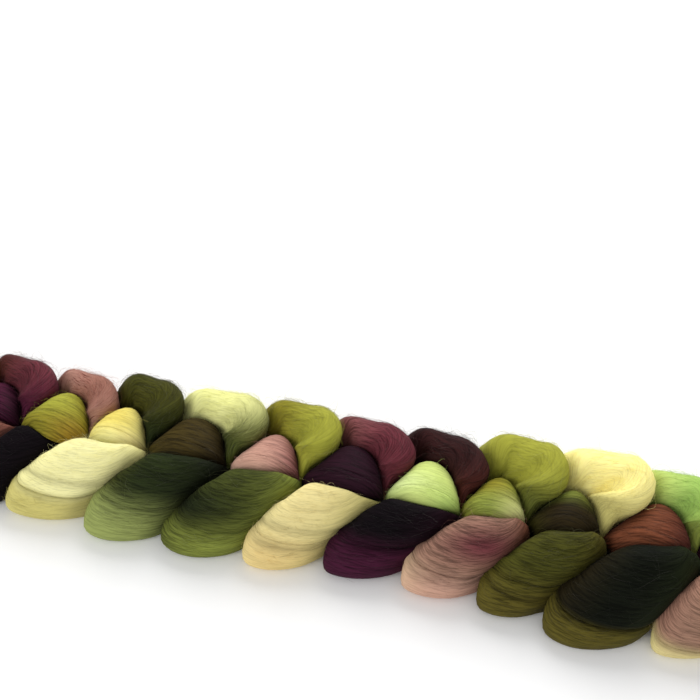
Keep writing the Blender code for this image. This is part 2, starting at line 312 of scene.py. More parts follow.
SPLASHES = (
    Splash(4, Leg.NEAR, 0.92, 0.0, 0.30, 0.6, 0.8, D.BLACK_GREEN),
    Splash(4, Leg.FAR, 0.72, 0.85, 0.22, 0.22, 0.75, D.DEEP_LEAF),
    Splash(4, Leg.FAR, 0.70, 0.40, 0.20, 0.10, 0.55, D.LEAF),
    Splash(4, Leg.FAR, 0.84, 0.30, 0.20, 0.9, 0.70, D.DEEP_LEAF),
    Splash(4, Leg.FAR, 0.95, 0.60, 0.20, 0.9, 0.85, D.DARK_GREEN),
    Splash(5, Leg.NEAR, 0.30, 0.05, 0.26, 0.55, 1.0, D.BLACK_GREEN),
    Splash(5, Leg.NEAR, 0.14, -0.45, 0.20, 0.50, 0.95, D.BLACK_GREEN),
    Splash(5, Leg.NEAR, 0.45, 0.9, 0.30, 0.25, 0.5, D.DARK_GREEN),
    Splash(5, Leg.NEAR, 0.45, 0.30, 0.24, 0.45, 0.65, D.DARK_GREEN),
    Splash(5, Leg.NEAR, 0.60, -0.7, 0.40, 0.35, 0.75, D.LEAF),
    Splash(8, Leg.NEAR, 0.56, 0.40, 0.24, 0.45, 0.95, D.PLUM),
    Splash(8, Leg.NEAR, 0.95, 0.10, 0.20, 0.80, 0.5, D.RED_BROWN),
    Splash(7, Leg.CAP, 0.35, -0.1, 0.25, 0.4, 0.6, D.WHITE_LIME),
)
CREASES = (
    Crease(3, Leg.NEAR, (0.15, 0.05), (0.75, 0.10), 0.030),
    Crease(6, Leg.NEAR, (0.10, -0.05), (0.95, 0.05), 0.030),
    Crease(6, Leg.NEAR, (0.25, -0.45), (0.85, -0.40), 0.020),
    Crease(7, Leg.NEAR, (0.30, -0.25), (0.95, 0.10), 0.035),
    Crease(8, Leg.NEAR, (0.15, -0.60), (0.85, -0.62), 0.035),
    Crease(9, Leg.NEAR, (0.10, -0.45), (0.70, -0.55), 0.030),
    Crease(9, Leg.FAR, (0.15, 0.25), (0.85, 0.10), 0.022),
    Crease(9, Leg.FAR, (0.10, -0.20), (0.90, -0.30), 0.018),
)


def ease(value: np.ndarray | float) -> np.ndarray | float:
    """Turn 0 to 1 into a smooth step.

    Args:
        value: One number or an array; what lies outside 0 to 1 is clipped.

    Returns:
        The eased value, of the same shape.
    """
    value = np.clip(value, 0.0, 1.0)
    return value * value * (3.0 - 2.0 * value)


@dataclass(frozen=True)
class Knot:
    """One lobe's place on the strand: the stations of its left, middle and right, and its dyes."""

    stitch: int
    leg: Leg
    left: float
    middle: float
    right: float
    dyes: Lobe


@dataclass
class StrandPath:
    """The route of the doubled strand and the frame of each of its sections.

    Every array has a row for each ring. Places and widths are in pitches, but the pitch itself, the
    origin, the sink into the floor and the ring steps are in metres. A leg's shift goes from its left
    slip to its right one over the pitch after slip_start, and is full from outer across. Most_slant and
    least_facing keep a section from lying along the strand, and turn_share is how far it turns to its
    own lean over each reference step.
    """

    pitch: float = 0.042
    origin_along: float = 0.14753
    origin_across: float = -0.00234
    sink: float = 0.0030
    ring_step: float = 0.0020
    curve_steps: int = 40
    most_slant: float = 0.7
    least_facing: float = 0.35
    turn_share: float = 0.3
    slant_rounds: int = 26
    reference_step: float = 0.0042
    slip_start: float = -0.4
    outer: float = 0.6
    rows: np.ndarray = field(init=False)
    knots: list[Knot] = field(init=False)
    centre: np.ndarray = field(init=False)
    half_wide: np.ndarray = field(init=False)
    half_thick: np.ndarray = field(init=False)
    broad: np.ndarray = field(init=False)
    serial: np.ndarray = field(init=False)
    firm: np.ndarray = field(init=False)
    way: np.ndarray = field(init=False)
    thin: np.ndarray = field(init=False)
    wide: np.ndarray = field(init=False)
    sense: np.ndarray = field(init=False)
    length: np.ndarray = field(init=False)

    def __post_init__(self) -> None:
        """Work out the whole route."""
        self.lay_stations()
        self.smooth()
        self.turn_sections()

    def lay_stations(self) -> None:
        """Place every station of the strand, from its first free end to its last."""
        rows: list[list[float]] = []
        self.knots = []

        def lay(stations: tuple[Station, ...], base: float, span: float, plump: float,
                spread: float = 1.0, slips: tuple[float, float] = (0.0, 0.0)) -> int:
            """Add one leg's stations.

            Args:
                stations: The leg's stations, for a stitch one pitch long.
                base: Where the loop before ends.
                span: How far on from there this stitch's loop ends.
                plump: What the widths are multiplied by.
                spread: What the way out from the middle is multiplied by.
                slips: How far the outer part is shifted at the leg's left and at its right.

            Returns:
                The number of the leg's first station.
            """
            first = len(rows)
            for station in stations:
                along = base + station.along * (span if station.along > 0.0 else 1.0)
                after = min(1.0, max(0.0, station.along - self.slip_start))
                out = min(1.0, abs(station.across) / self.outer) ** 2
                along += out * (slips[0] * (1.0 - after) + slips[1] * after)
                rows.append([along, station.across * spread, station.up, station.wide * plump,
                             station.thick * plump, *station.broad, float(len(rows)), station.firm])
            return first

        def mark(number: int, leg: Leg, first: int, shows: tuple[float, float, float], dyes: Lobe) -> None:
            """Note where a lobe shows on the strand."""
            left, middle, right = (first + place for place in shows)
            self.knots.append(Knot(number, leg, left, middle, right, dyes))

        first = lay(START_TAIL, FIRST_BASE, 1.0, 1.0)
        mark(-1, Leg.TAIL, first, START_SHOWS, START_DYES)
        base, slip = FIRST_BASE, 0.0
        for n, stitch in enumerate(STITCHES):
            span = stitch.head - base
            first = lay(NEAR_LEG, base, span, stitch.near, stitch.near, (slip, stitch.slip))
            mark(n, Leg.NEAR, first, NEAR_SHOWS, stitch.near_dyes)
            first = lay(FAR_LEG, base, span, stitch.far, slips=(0.0, stitch.reach))
            mark(n, Leg.FAR, first, FAR_SHOWS, stitch.far_dyes)
            first = lay(CAP, base, span, stitch.cap)
            mark(n, Leg.CAP, first, CAP_SHOWS, stitch.cap_dyes)
            base, slip = stitch.head, stitch.slip
        first = lay(END_TAIL, base, 1.0, 1.0)
        mark(len(STITCHES), Leg.TAIL, first, END_SHOWS, END_DYES)
        self.rows = np.array(rows)

    def smooth(self) -> None:
        """Draw a smooth curve through the stations and space the rings evenly along it."""
        rows = self.rows
        gaps = np.sqrt(np.linalg.norm(np.diff(rows[:, :3], axis=0), axis=1))
        slopes = np.empty_like(rows)
        steps = np.diff(rows, axis=0) / gaps[:, None]
        slopes[0], slopes[-1] = steps[0], steps[-1]
        weight = (gaps[1:] / (gaps[1:] + gaps[:-1]))[:, None]
        slopes[1:-1] = steps[:-1] * (1.0 - weight) + steps[1:] * weight
        t = np.linspace(0.0, 1.0, self.curve_steps, endpoint=False)[:, None]
        pieces = []
        for i, gap in enumerate(gaps):
            pieces.append((2 * t**3 - 3 * t**2 + 1) * rows[i] + (t**3 - 2 * t**2 + t) * gap * slopes[i]
                          + (3 * t**2 - 2 * t**3) * rows[i + 1] + (t**3 - t**2) * gap * slopes[i + 1])
        dense = np.concatenate(pieces + [rows[-1:]])
        run = np.concatenate([[0.0], np.cumsum(np.linalg.norm(np.diff(dense[:, :3], axis=0), axis=1))])
        count = int(run[-1] * self.pitch / self.ring_step) + 1
        self.length = np.linspace(0.0, run[-1], count)
        path = np.stack([np.interp(self.length, run, dense[:, c]) for c in range(rows.shape[1])], axis=1)
        self.centre = path[:, :3]
        self.half_wide, self.half_thick = path[:, 3] / 2.0, path[:, 4] / 2.0
        self.broad = path[:, 5:8]
        self.serial = path[:, 8]
        self.firm = path[:, 9]

    def turn_sections(self) -> None:
        """Give each ring the thin way and the wide way of its section, turning smoothly."""
        ahead = np.gradient(self.centre, axis=0)
        ahead /= np.linalg.norm(ahead, axis=1)[:, None]
        share = 1.0 - (1.0 - self.turn_share) ** (self.ring_step / self.reference_step)
        thin: np.ndarray | None = None
        thins, wides, slants, senses = [], [], [], []
        for way, broad in zip(ahead, self.broad):
            size = np.linalg.norm(broad)
            aim, sense = np.cross(way, broad), 1.0
            if thin is None:
                thin = aim
            else:
                thin = thin - (thin @ way) * way
                thin /= np.linalg.norm(thin)
                if aim @ thin < 0.0:
                    aim, broad, sense = -aim, -broad, -1.0
                pull = min(1.0, np.linalg.norm(aim) / size) * share
                thin = thin * (1.0 - pull) + aim / max(np.linalg.norm(aim), 1e-6) * pull
            thin = thin / np.linalg.norm(thin)
            wide = np.cross(way, thin)
            if wide @ broad < 0.0:
                wide = -wide
            flat = broad / size
            flat = flat - (flat @ thin) * thin
            slant = (flat @ way) / max(flat @ wide, self.least_facing)
            slants.append(min(self.most_slant, max(-self.most_slant, slant)) * min(1.0, size))
            thins.append(thin)
            wides.append(wide)
            senses.append(sense)
        lean = np.array(slants)
        for _ in range(self.slant_rounds):
            lean[1:-1] = 0.5 * lean[1:-1] + 0.25 * (lean[2:] + lean[:-2])
        self.way, self.thin = ahead, np.array(thins)
        self.wide = np.array(wides) + lean[:, None] * ahead
        self.sense = np.array(senses)

    def sense_at(self, serial: float) -> float:
        """Tell whether the wide way runs with (1) or against (-1) a leg's broad way at a station."""
        return float(self.sense[int(np.argmin(np.abs(self.serial - serial)))])

    def place(self, points: np.ndarray) -> np.ndarray:
        """Turn points in pitches into metres in the part's frame."""
        shift = np.array([self.origin_along, self.origin_across, self.sink])
        return points * self.pitch - shift


@dataclass
class Contact:
    """How the strand's passes press on each other: each gives way where another is as near.

    Reach is how far apart rings can be and still touch, and own_stretch how much of the strand counts
    as the same pass, both in pitches. The rest are shares of a section's half width: the gap left where
    passes meet, how soft an edge draws in and over what range, how far off a pass shades another, and
    how far each ring stretches along the strand. Thinning is how many rings one stands for, and
    smooth_along and smooth_round are how often the result is averaged.
    """

    path: StrandPath
    reach: float = 1.35
    own_stretch: float = 0.75
    gap: float = 0.02
    soft: float = 0.05
    soft_range: float = 0.4
    shade_range: float = 0.4
    bead_stretch: float = 0.9
    thinning: int = 2
    smooth_along: int = 6
    smooth_round: int = 2
    shares: np.ndarray = field(default_factory=lambda: np.linspace(0.2, 1.0, 11))

    def press(self, outline: np.ndarray) -> tuple[np.ndarray, np.ndarray]:
        """Find how far out each point of the strand's sections can stand.

        Args:
            outline: Rings by points by 3, from each ring's centre to its free outline, in pitches.

        Returns:
            Rings by points, the share of the way to the free outline, up to 1, and how close
            another pass is, from 0 to 1 where they touch.
        """
        path = self.path
        run = path.length[::self.thinning]
        lean = (path.wide * path.way).sum(1)
        centre, thin, way, level, a, b, lean, firm = (
            values[::self.thinning].astype(np.float32) for values in (
                path.centre, path.thin, path.way, path.wide - lean[:, None] * path.way,
                path.half_wide, path.half_thick, lean, path.firm))
        count = outline.shape[1]
        out, close = np.ones(outline.shape[:2]), np.zeros(outline.shape[:2])
        shares = self.shares.astype(np.float32)
        for i, (middle, ring) in enumerate(zip(path.centre, outline)):
            near = np.flatnonzero((np.linalg.norm(centre - middle, axis=1) < self.reach)
                                  & (np.abs(run - path.length[i]) > self.own_stretch))
            if not len(near):
                continue
            spots = (middle + ring[:, None, :] * shares[None, :, None]).reshape(-1, 3).astype(np.float32)
            away_wide, away_thin, away_way = (
                spots @ axis[near].T - (centre[near] * axis[near]).sum(1) for axis in (level, thin, way))
            square = ((away_thin / b[near]) ** 2 + (away_wide / a[near]) ** 2
                      + ((away_way - lean[near] * away_wide) / (b[near] * self.bead_stretch)) ** 2)
            nearest = (1.0 - firm[near] / path.firm[i] * (1.0 - np.sqrt(square))).min(axis=1)
            limit = nearest.reshape(count, -1) - self.gap
            over = shares[None, :] - limit
            first = np.argmax(over > 0.0, axis=1)
            met = over.max(axis=1) > 0.0
            before = np.maximum(first - 1, 0)
            low, high = over[np.arange(count), before], over[np.arange(count), first]
            part = np.where(first > 0, -low / np.maximum(high - low, 1e-6), 0.0)
            stop = shares[before] + (shares[first] - shares[before]) * part
            edge = 1.0 - self.soft * np.clip(1.0 - (limit[:, -1] - 1.0) / self.soft_range, 0.0, 1.0) ** 2
            out[i] = np.minimum(np.where(met, stop, 1.0), edge)
            # how near another pass comes, which sets the painted shade where passes meet
            close[i] = np.clip(1.0 - (limit[:, -1] - 1.0) / self.shade_range, 0.0, 1.0)
        return self.soften(out), self.soften(close)

    def soften(self, shares: np.ndarray) -> np.ndarray:
        """Average each share with its neighbours, some times along the strand and some round it.

        Args:
            shares: Rings by points.

        Returns:
            The same, smoother.
        """
        for n in range(self.smooth_along):
            if n < self.smooth_round:
                shares = 0.5 * shares + 0.25 * (np.roll(shares, 1, 1) + np.roll(shares, -1, 1))
            shares[1:-1] = 0.5 * shares[1:-1] + 0.25 * (shares[2:] + shares[:-2])
        return shares


class Side(Enum):
    """The two plies of the doubled strand, by the side of the split that each lies on."""

    PLUS = 1
    MINUS = -1


@dataclass
class DoubledStrand:
    """The doubled strand's surface, before it is parted into plies.

    Depths, widths and the wave's height are in pitches. Girth is the length round the strand, in metres,
    that one turn of the fibres stands for. Swing is how far, in pitches, the fibres turn back at each far
    bend, whose middle lies bend_start stations in from the far lobe's right end and which is bend_long
    stations long. A lobe's run goes on for overrun stations past its ends, overrun_rate for each.
    """

    path: StrandPath
    arc_points: int = 54
    fullness: float = 2.3
    groove_depth: float = 0.055
    groove_width: float = 0.17
    # groove_shade and fold_shade: how much painted shade darkens the groove between the plies and each crease
    groove_shade: float = 0.35
    fold_shade: float = 0.30
    fold_fade: float = 0.25
    wave: float = 0.006
    wave_count: int = 12
    wave_folds: tuple[int, int] = (3, 15)
    wave_cycle: tuple[float, float] = (3.5, 9.0)
    wave_size: tuple[float, float] = (0.3, 1.0)
    least_relief: float = 0.4
    girth: float = 0.125
    swing: float = 0.60
    bend_start: float = 1.2
    bend_long: float = 2.0
    overrun: float = 1.5
    overrun_rate: float = 0.3
    seed: int = 7
    split: np.ndarray = field(init=False)
    upward: np.ndarray = field(init=False)
    across: dict[Side, np.ndarray] = field(init=False)
    surface: dict[Side, np.ndarray] = field(init=False)
    shares: dict[Side, np.ndarray] = field(init=False)
    shade_closeness: dict[Side, np.ndarray] = field(init=False)
    hollow_shade: dict[Side, np.ndarray] = field(default_factory=dict)
    turn: dict[Side, np.ndarray] = field(default_factory=dict)

    def __post_init__(self) -> None:
        """Work out both plies' outer surfaces."""
        self.lay_split()
        self.lay_surface()

    def between(self, stations: list[float], values: list[float]) -> np.ndarray:
        """Carry values given at stations to every ring, easing from each to the next.

        Args:
            stations: Where the values are given, in any order.
            values: A value for each.

        Returns:
            A value for each ring.
        """
        order = np.argsort(stations)
        at, given = np.array(stations)[order], np.array(values)[order]
        i = np.clip(np.searchsorted(at, self.path.serial) - 1, 0, len(at) - 2)
        part = ease((self.path.serial - at[i]) / (at[i + 1] - at[i]))
        return given[i] * (1.0 - part) + given[i + 1] * part

    def lay_split(self) -> None:
        """Run the split between the plies along the strand, below the middle of each lobe."""
        self.split = self.per_lobe(lambda knot: -knot.dyes.split * self.path.sense_at(knot.middle))
        self.upward = self.per_lobe(lambda knot: self.path.sense_at(knot.middle))

    def per_lobe(self, value: Callable[[Knot], float]) -> np.ndarray:
        """Carry a value that is steady over each lobe to every ring.

        Args:
            value: What gives a lobe's value.

        Returns:
            A value for each ring.
        """
        stations, values = [], []
        for knot in self.path.knots:
            for station in (knot.left, knot.right):
                stations.append(station)
                values.append(value(knot))
        return self.between(stations, values)

    def free_outline(self, turns: np.ndarray) -> np.ndarray:
        """Give points of the free sections, before passes press on each other.

        Args:
            turns: Rings by points, how far round its section each point lies, in radians.

        Returns:
            Rings by points by 3, from each ring's centre, in pitches.
        """
        path = self.path
        cos, sin = np.cos(turns), np.sin(turns)
        out = path.half_thick[:, None] * np.sign(cos) * np.abs(cos) ** (2.0 / self.fullness)
        along = path.half_wide[:, None] * np.sign(sin) * np.abs(sin) ** (2.0 / self.fullness)
        return out[..., None] * path.thin[:, None, :] + along[..., None] * path.wide[:, None, :]

    def lay_surface(self) -> None:
        """Press the strand's passes together, then part and ruffle their surface."""
        tilt = np.arcsin(np.sign(self.split) * np.abs(self.split) ** (self.fullness / 2.0))
        step = np.linspace(0.0, 1.0, self.arc_points)
        both = np.concatenate([tilt[:, None] + (math.pi - 2.0 * tilt)[:, None] * step,
                               math.pi - tilt[:, None] + (math.pi + 2.0 * tilt)[:, None] * step], axis=1)
        outline = self.free_outline(both)
        # close says how near another pass comes; it sets the painted shade where passes meet
        pressed, close = Contact(self.path).press(outline)
        level = np.sign(np.sin(both)) * np.abs(np.sin(both)) ** (2.0 / self.fullness)
        self.surface, self.shares, self.across, self.shade_closeness = {}, {}, {}, {}
        for n, side in enumerate(Side):
            part = slice(n * self.arc_points, (n + 1) * self.arc_points)
            out = outline[:, part]
            reach = np.linalg.norm(out, axis=2)
            share = pressed[:, part]
            self.across[side] = level[:, part] * self.upward[:, None]
            drop = self.relief(side, out, share) / reach
            point = self.path.centre[:, None, :] + out * (share - drop)[..., None]
            self.surface[side] = self.path.place(point)
            self.surface[side][..., 2] = np.maximum(self.surface[side][..., 2], 0.0)
            self.shares[side] = share
            self.shade_closeness[side] = close[:, part]

    def lobe_run(self, stitch: int, leg: Leg) -> np.ndarray:
        """Find each ring's place along a lobe.

        Args:
            stitch: The lobe's stitch.
            leg: Which of its lobes.

        Returns:
            0 at the lobe's left end and 1 at its right, a little more past its ends, or OUTSIDE.
        """
        knot = next(k for k in self.path.knots if k.stitch == stitch and k.leg is leg)
        ends = np.array([knot.left, knot.middle, knot.right])
        order, serial = np.argsort(ends), self.path.serial
        beyond = serial - np.clip(serial, ends.min(), ends.max())
        along = np.interp(serial, ends[order], np.array([0.0, 0.5, 1.0])[order])
        along = along + self.overrun_rate * beyond * np.sign(knot.right - knot.left)
        return np.where(np.abs(beyond) < self.overrun, along, OUTSIDE)

    def fold(self, crease: Crease, side: Side) -> np.ndarray:
        """Work out how deep a crease is at each point of a ply.

        Args:
            crease: The crease.
            side: The ply's side of the strand.

        Returns:
            Rings by points, from 0 to 1.
        """
        along = self.lobe_run(crease.stitch, crease.leg)
        part = (along - crease.start[0]) / (crease.stop[0] - crease.start[0])
        line = crease.start[1] + np.clip(part, 0.0, 1.0) * (crease.stop[1] - crease.start[1])
        away = (self.across[side] - line[:, None]) * self.path.half_wide[:, None] / crease.width
        return np.exp(-away ** 2) * self.fade(part)[:, None]

    def fade(self, part: np.ndarray) -> np.ndarray:
        """Ease a crease in at its start and out at its stop."""
        return ease(part / self.fold_fade) * ease((1.0 - part) / self.fold_fade)

    def relief(self, side: Side, out: np.ndarray, share: np.ndarray) -> np.ndarray:
        """Work out how far the surface sinks at the split, in creases and in waves, and paint shade into the
        creases.

        Args:
            side: The ply's side of the strand.
            out: Rings by points by 3, from each ring's centre to its free outline.
            share: Rings by points, the share of that way that is left.

        Returns:
            Rings by points, in pitches.
        """
        edges = np.linalg.norm(np.diff(out * share[..., None], axis=1), axis=2)
        arc = np.concatenate([np.zeros((len(out), 1)), np.cumsum(edges, axis=1)], axis=1)
        self.turn[side] = self.fibre_turn(side, arc)
        drop = self.groove(side, arc)
        for crease in CREASES:
            fold = self.fold(crease, side)
            drop = drop + crease.depth * fold
            # painted shade along the crease
            self.hollow_shade[side] = self.hollow_shade[side] + self.fold_shade * fold
        return self.ruffle(drop, self.turn[side]) * np.clip(share, self.least_relief, 1.0)

    def fibre_turn(self, side: Side, arc: np.ndarray) -> np.ndarray:
        """Find how far round the strand the fibres at each point lie.

        Args:
            side: The ply's side of the strand.
            arc: Rings by points, the way round from the ply's first edge, in pitches.

        Returns:
            Rings by points, in turns from the split that shows.
        """
        outward = 0.5 + 0.5 * side.value * self.upward[:, None]
        bend = np.zeros(len(arc))
        for knot in self.path.knots:
            if knot.leg is Leg.FAR:
                middle = knot.right + self.bend_start
                bend += np.exp(-((self.path.serial - middle) / self.bend_long) ** 2)
        turned = (arc - arc[:, -1:] * (1.0 - outward)) - self.swing * bend[:, None]
        return turned * self.path.pitch / self.girth

    def groove(self, side: Side, arc: np.ndarray) -> np.ndarray:
        """Sink the surface at the split, where a lobe's plies stand apart, and paint shade into the groove.

        Args:
            side: The ply's side of the strand.
            arc: Rings by points, the way round from the ply's first edge, in pitches.

        Returns:
            Rings by points, the depth in pitches.
        """
        nearest = np.minimum(arc, arc[:, -1:] - arc)
        close = np.clip(1.0 - nearest / self.groove_width, 0.0, 1.0)
        firm = self.per_lobe(lambda knot: knot.dyes.groove)[:, None]
        # painted shade in the groove, darkest at the split
        self.hollow_shade[side] = self.groove_shade * firm * close ** 3
        rounded = 1.0 - np.sqrt(1.0 - close ** 2)
        return self.groove_depth * firm * (close ** 2 * (1.0 - firm) + rounded * firm)

    def ruffle(self, drop: np.ndarray, turn: np.ndarray) -> np.ndarray:
        """Add the waves that locks of fibre make along the strand.

        Args:
            drop: Rings by points, the depth so far, in pitches.
            turn: Rings by points, how far round the strand the fibres lie, in turns.

        Returns:
            Rings by points, the new depth.
        """
        rng = np.random.default_rng(self.seed)
        run = self.path.length[:, None]
        for _ in range(self.wave_count):
            folds = rng.integers(*self.wave_folds)
            cycle = rng.uniform(*self.wave_cycle)
            phase = rng.uniform(0.0, 2.0 * math.pi)
            size = rng.uniform(*self.wave_size)
            swell = 1.0 + np.sin(2.0 * math.pi * (folds * turn + run / cycle) + phase)
            drop = drop + self.wave * size * 0.5 * swell / math.sqrt(folds)
        return drop


class Span(NamedTuple):
    """Where a range starts and ends, and what its start and its end become."""

    low: float
    high: float
    bottom: float
    top: float


class Nodes:
    """A short hand for adding nodes to a tree and joining them."""

    def __init__(self, tree: bpy.types.NodeTree) -> None:
        """Take the tree and clear it."""
        self.tree = tree
        self.tree.nodes.clear()

    @classmethod
    def material(cls, name: str) -> tuple[bpy.types.Material, "Nodes"]:
        """Make a material with an empty tree.

        Args:
            name: The material's name.

        Returns:
            The material and its nodes.
        """
        material = bpy.data.materials.new(name)
        material.use_nodes = True
        return material, cls(material.node_tree)

    def add(self, kind: str, inputs: dict[str | int, object] | None = None,
            **settings: object) -> bpy.types.Node:
        """Add a node, set its properties and feed its inputs.

        Args:
            kind: The node's Blender type name.
            inputs: Its inputs, by name or number, each with a socket to join or a value to set.
            settings: Property names and their values.

        Returns:
            The new node.
        """
        node = self.tree.nodes.new(kind)
        for name, value in settings.items():
            setattr(node, name, value)
        for name, value in (inputs or {}).items():
            self.feed(node.inputs[name], value)
        return node

    def feed(self, socket: Socket, value: object) -> None:
        """Join a socket to another socket, or set it to a plain value.

        Args:
            socket: The socket to feed.
            value: The other socket, or the value.
        """
        if isinstance(value, Socket):
            self.tree.links.new(value, socket)
        else:
            socket.default_value = value

    def attribute(self, name: str, output: str) -> Socket:
        """Read a mesh attribute, as its Color, Vector or Fac."""
        return self.add("ShaderNodeAttribute", attribute_name=name).outputs[output]

    def span(self, value: Socket, span: Span) -> Socket:
        """Carry a value from one range to another, clipped and eased."""
        inputs = dict(enumerate((value, *span)))
        return self.add("ShaderNodeMapRange", inputs, interpolation_type="SMOOTHSTEP").outputs["Result"]

    def maths(self, kind: str, first: object, second: object) -> Socket:
        """Work out one sum of two sockets or numbers."""
        return self.add("ShaderNodeMath", {0: first, 1: second}, operation=kind).outputs[0]

    def mix(self, amount: object, first: object, second: object) -> Socket:
        """Mix two colours by a socket or a number."""
        return self.add("ShaderNodeMix", {0: amount, 6: first, 7: second}, data_type="RGBA").outputs[2]

    def tint(self, colour: object, tone: object) -> Socket:
        """Scale a colour by a socket or a number."""
        return self.add("ShaderNodeVectorMath", {0: colour, "Scale": tone}, operation="SCALE").outputs[0]

    def shade(self, inputs: dict[str | int, object]) -> None:
        """Add the material's shader and send it to the output."""
        shader = self.add("ShaderNodeBsdfPrincipled", inputs)
        self.add("ShaderNodeOutputMaterial", {"Surface": shader.outputs[0]})


class Grain(NamedTuple):
    """Noise drawn out along the fibres: how fine it is along and round the ply, and how far it winds."""

    along: float
    round: float
    detail: float
    rough: float
    wind: float


@dataclass(frozen=True)
class FibreGroup:
    """The node group that turns fibre coordinates into a streak mask, a lock mask and a height.

    The parts say how much of each noise goes into streaks, into locks and into the height.
    """

    name: str = "fibre_streaks"
    fine: Grain = Grain(70.0, 2100.0, 2.0, 0.7, 6.0)
    crossing: Grain = Grain(100.0, 1700.0, 2.0, 0.65, -10.0)
    tuft: Grain = Grain(62.0, 900.0, 3.0, 0.65, 4.0)
    lock: Grain = Grain(20.0, 250.0, 2.0, 0.5, -2.0)
    curl: Grain = Grain(330.0, 1300.0, 2.0, 0.6, 0.0)
    streak_parts: tuple[float, float, float] = (0.20, 0.42, 0.38)
    lock_parts: tuple[float, float] = (0.45, 0.55)
    relief_parts: tuple[float, float] = (0.35, 0.5)

    def build(self) -> bpy.types.NodeTree:
        """Make the group.

        Returns:
            The node tree, with inputs Fibre and Crimp and outputs Streak, Lock and Height.
        """
        tree = bpy.data.node_groups.new(self.name, "ShaderNodeTree")
        face = tree.interface
        face.new_socket("Fibre", in_out="INPUT", socket_type="NodeSocketVector")
        face.new_socket("Crimp", in_out="INPUT", socket_type="NodeSocketFloat")
        for out in ("Streak", "Lock", "Height"):
            face.new_socket(out, in_out="OUTPUT", socket_type="NodeSocketFloat")
        nodes = Nodes(tree)
        start, end = nodes.add("NodeGroupInput"), nodes.add("NodeGroupOutput")
        fibre = start.outputs["Fibre"]
        run = nodes.add("ShaderNodeSeparateXYZ", {0: fibre}).outputs[0]
        fine, crossing, tuft, lock, curl = (
            self.noise(nodes, fibre, run, grain)
            for grain in (self.fine, self.crossing, self.tuft, self.lock, self.curl))
        streak = self.blend(nodes, (fine, crossing, tuft), self.streak_parts)
        curls = nodes.maths("MULTIPLY", curl, start.outputs["Crimp"])
        tufts = self.blend(nodes, (tuft, lock), self.relief_parts)
        nodes.feed(end.inputs["Streak"], streak)
        nodes.feed(end.inputs["Lock"], self.blend(nodes, (lock, tuft), self.lock_parts))
        nodes.feed(end.inputs["Height"], nodes.maths("ADD", nodes.maths("ADD", streak, curls), tufts))
        return tree

    @staticmethod
    def noise(nodes: Nodes, fibre: Socket, run: Socket, grain: Grain) -> Socket:
        """Add noise stretched along fibres that wind round the ply.

        Args:
            nodes: The group's nodes.
            fibre: The fibre coordinates.
            run: Their first part, the way along the ply.
            grain: How the noise is drawn out.

        Returns:
            The noise's value.
        """
        wind = nodes.add("ShaderNodeVectorRotate", {
            "Vector": fibre, "Angle": nodes.maths("MULTIPLY", run, grain.wind)}, rotation_type="X_AXIS")
        stretch = nodes.add("ShaderNodeVectorMath", {
            0: wind.outputs[0], 1: (grain.along, grain.round, grain.round)}, operation="MULTIPLY")
        texture = nodes.add("ShaderNodeTexNoise", {
            "Scale": 1.0, "Detail": grain.detail, "Roughness": grain.rough, "Vector": stretch.outputs[0]})
        return texture.outputs["Fac"]

    @staticmethod
    def blend(nodes: Nodes, values: tuple[Socket, ...], parts: tuple[float, ...]) -> Socket:
        """Add up values, each by its part.

        Args:
            nodes: The group's nodes.
            values: The values' sockets.
            parts: What each is multiplied by.

        Returns:
            The socket of the sum.
        """
        total, *rest = (nodes.maths("MULTIPLY", value, part) for value, part in zip(values, parts))
        for value in rest:
            total = nodes.maths("ADD", total, value)
        return total


@dataclass(frozen=True)
class CombedWoolFinish:
    """The finish of the combed top: dyed fibres that lie one way, with more contrast where they are dark, the
    lighter streaks there partly painted glints.

    Under is which streaks take the under dye, depth how much contrast dyes from dark to pale have, most on
    dark dyes where the lighter streaks are partly painted glints, swing how streaks darken and lighten, locks
    how locks do, and rough how rough streaks are.
    """

    name: str = "combed_wool"
    crimp: float = 0.35
    under: Span = Span(0.48, 0.60, 0.0, 1.0)
    depth: Span = Span(0.03, 0.38, 0.62, 0.20)
    swing: Span = Span(0.40, 0.60, -0.75, 1.15)
    locks: Span = Span(0.34, 0.66, 0.95, 1.04)
    rough: Span = Span(0.38, 0.62, 0.50, 0.66)
    bump_strength: float = 0.45
    bump_distance: float = 0.0007
    sheen: float = 0.01
    sheen_roughness: float = 0.45
    shine: float = 0.03

    def build(self, fibres: bpy.types.NodeTree) -> bpy.types.Material:
        """Make the material.

        Args:
            fibres: The fibre streaks group.

        Returns:
            The material for the plies.
        """
        material, nodes = Nodes.material(self.name)
        group = nodes.add("ShaderNodeGroup", node_tree=fibres, inputs={
            "Fibre": nodes.attribute("fibre", "Vector"), "Crimp": self.crimp})
        streak, lock = group.outputs["Streak"], group.outputs["Lock"]
        # the dye attributes hold the dyes with painted shade already in them
        dye = nodes.mix(nodes.span(streak, self.under), nodes.attribute("dye", "Color"),
                        nodes.attribute("under_dye_and_shade", "Color"))
        light = nodes.add("ShaderNodeRGBToBW", {"Color": dye}).outputs[0]
        # streaks darken and lighten the dye, most on dark dyes, where the lighter streaks are partly painted
        # glints
        swing = nodes.maths("MULTIPLY", nodes.span(streak, self.swing), nodes.span(light, self.depth))
        tone = nodes.maths("MULTIPLY", nodes.maths("ADD", swing, 1.0), nodes.span(lock, self.locks))
        bump = nodes.add("ShaderNodeBump", {
            "Strength": self.bump_strength, "Distance": self.bump_distance,
            "Height": group.outputs["Height"]})
        nodes.shade({"Base Color": nodes.tint(dye, tone), "Roughness": nodes.span(streak, self.rough),
                     "Normal": bump.outputs["Normal"], "Specular IOR Level": self.shine,
                     "Sheen Weight": self.sheen, "Sheen Roughness": self.sheen_roughness})
        return material


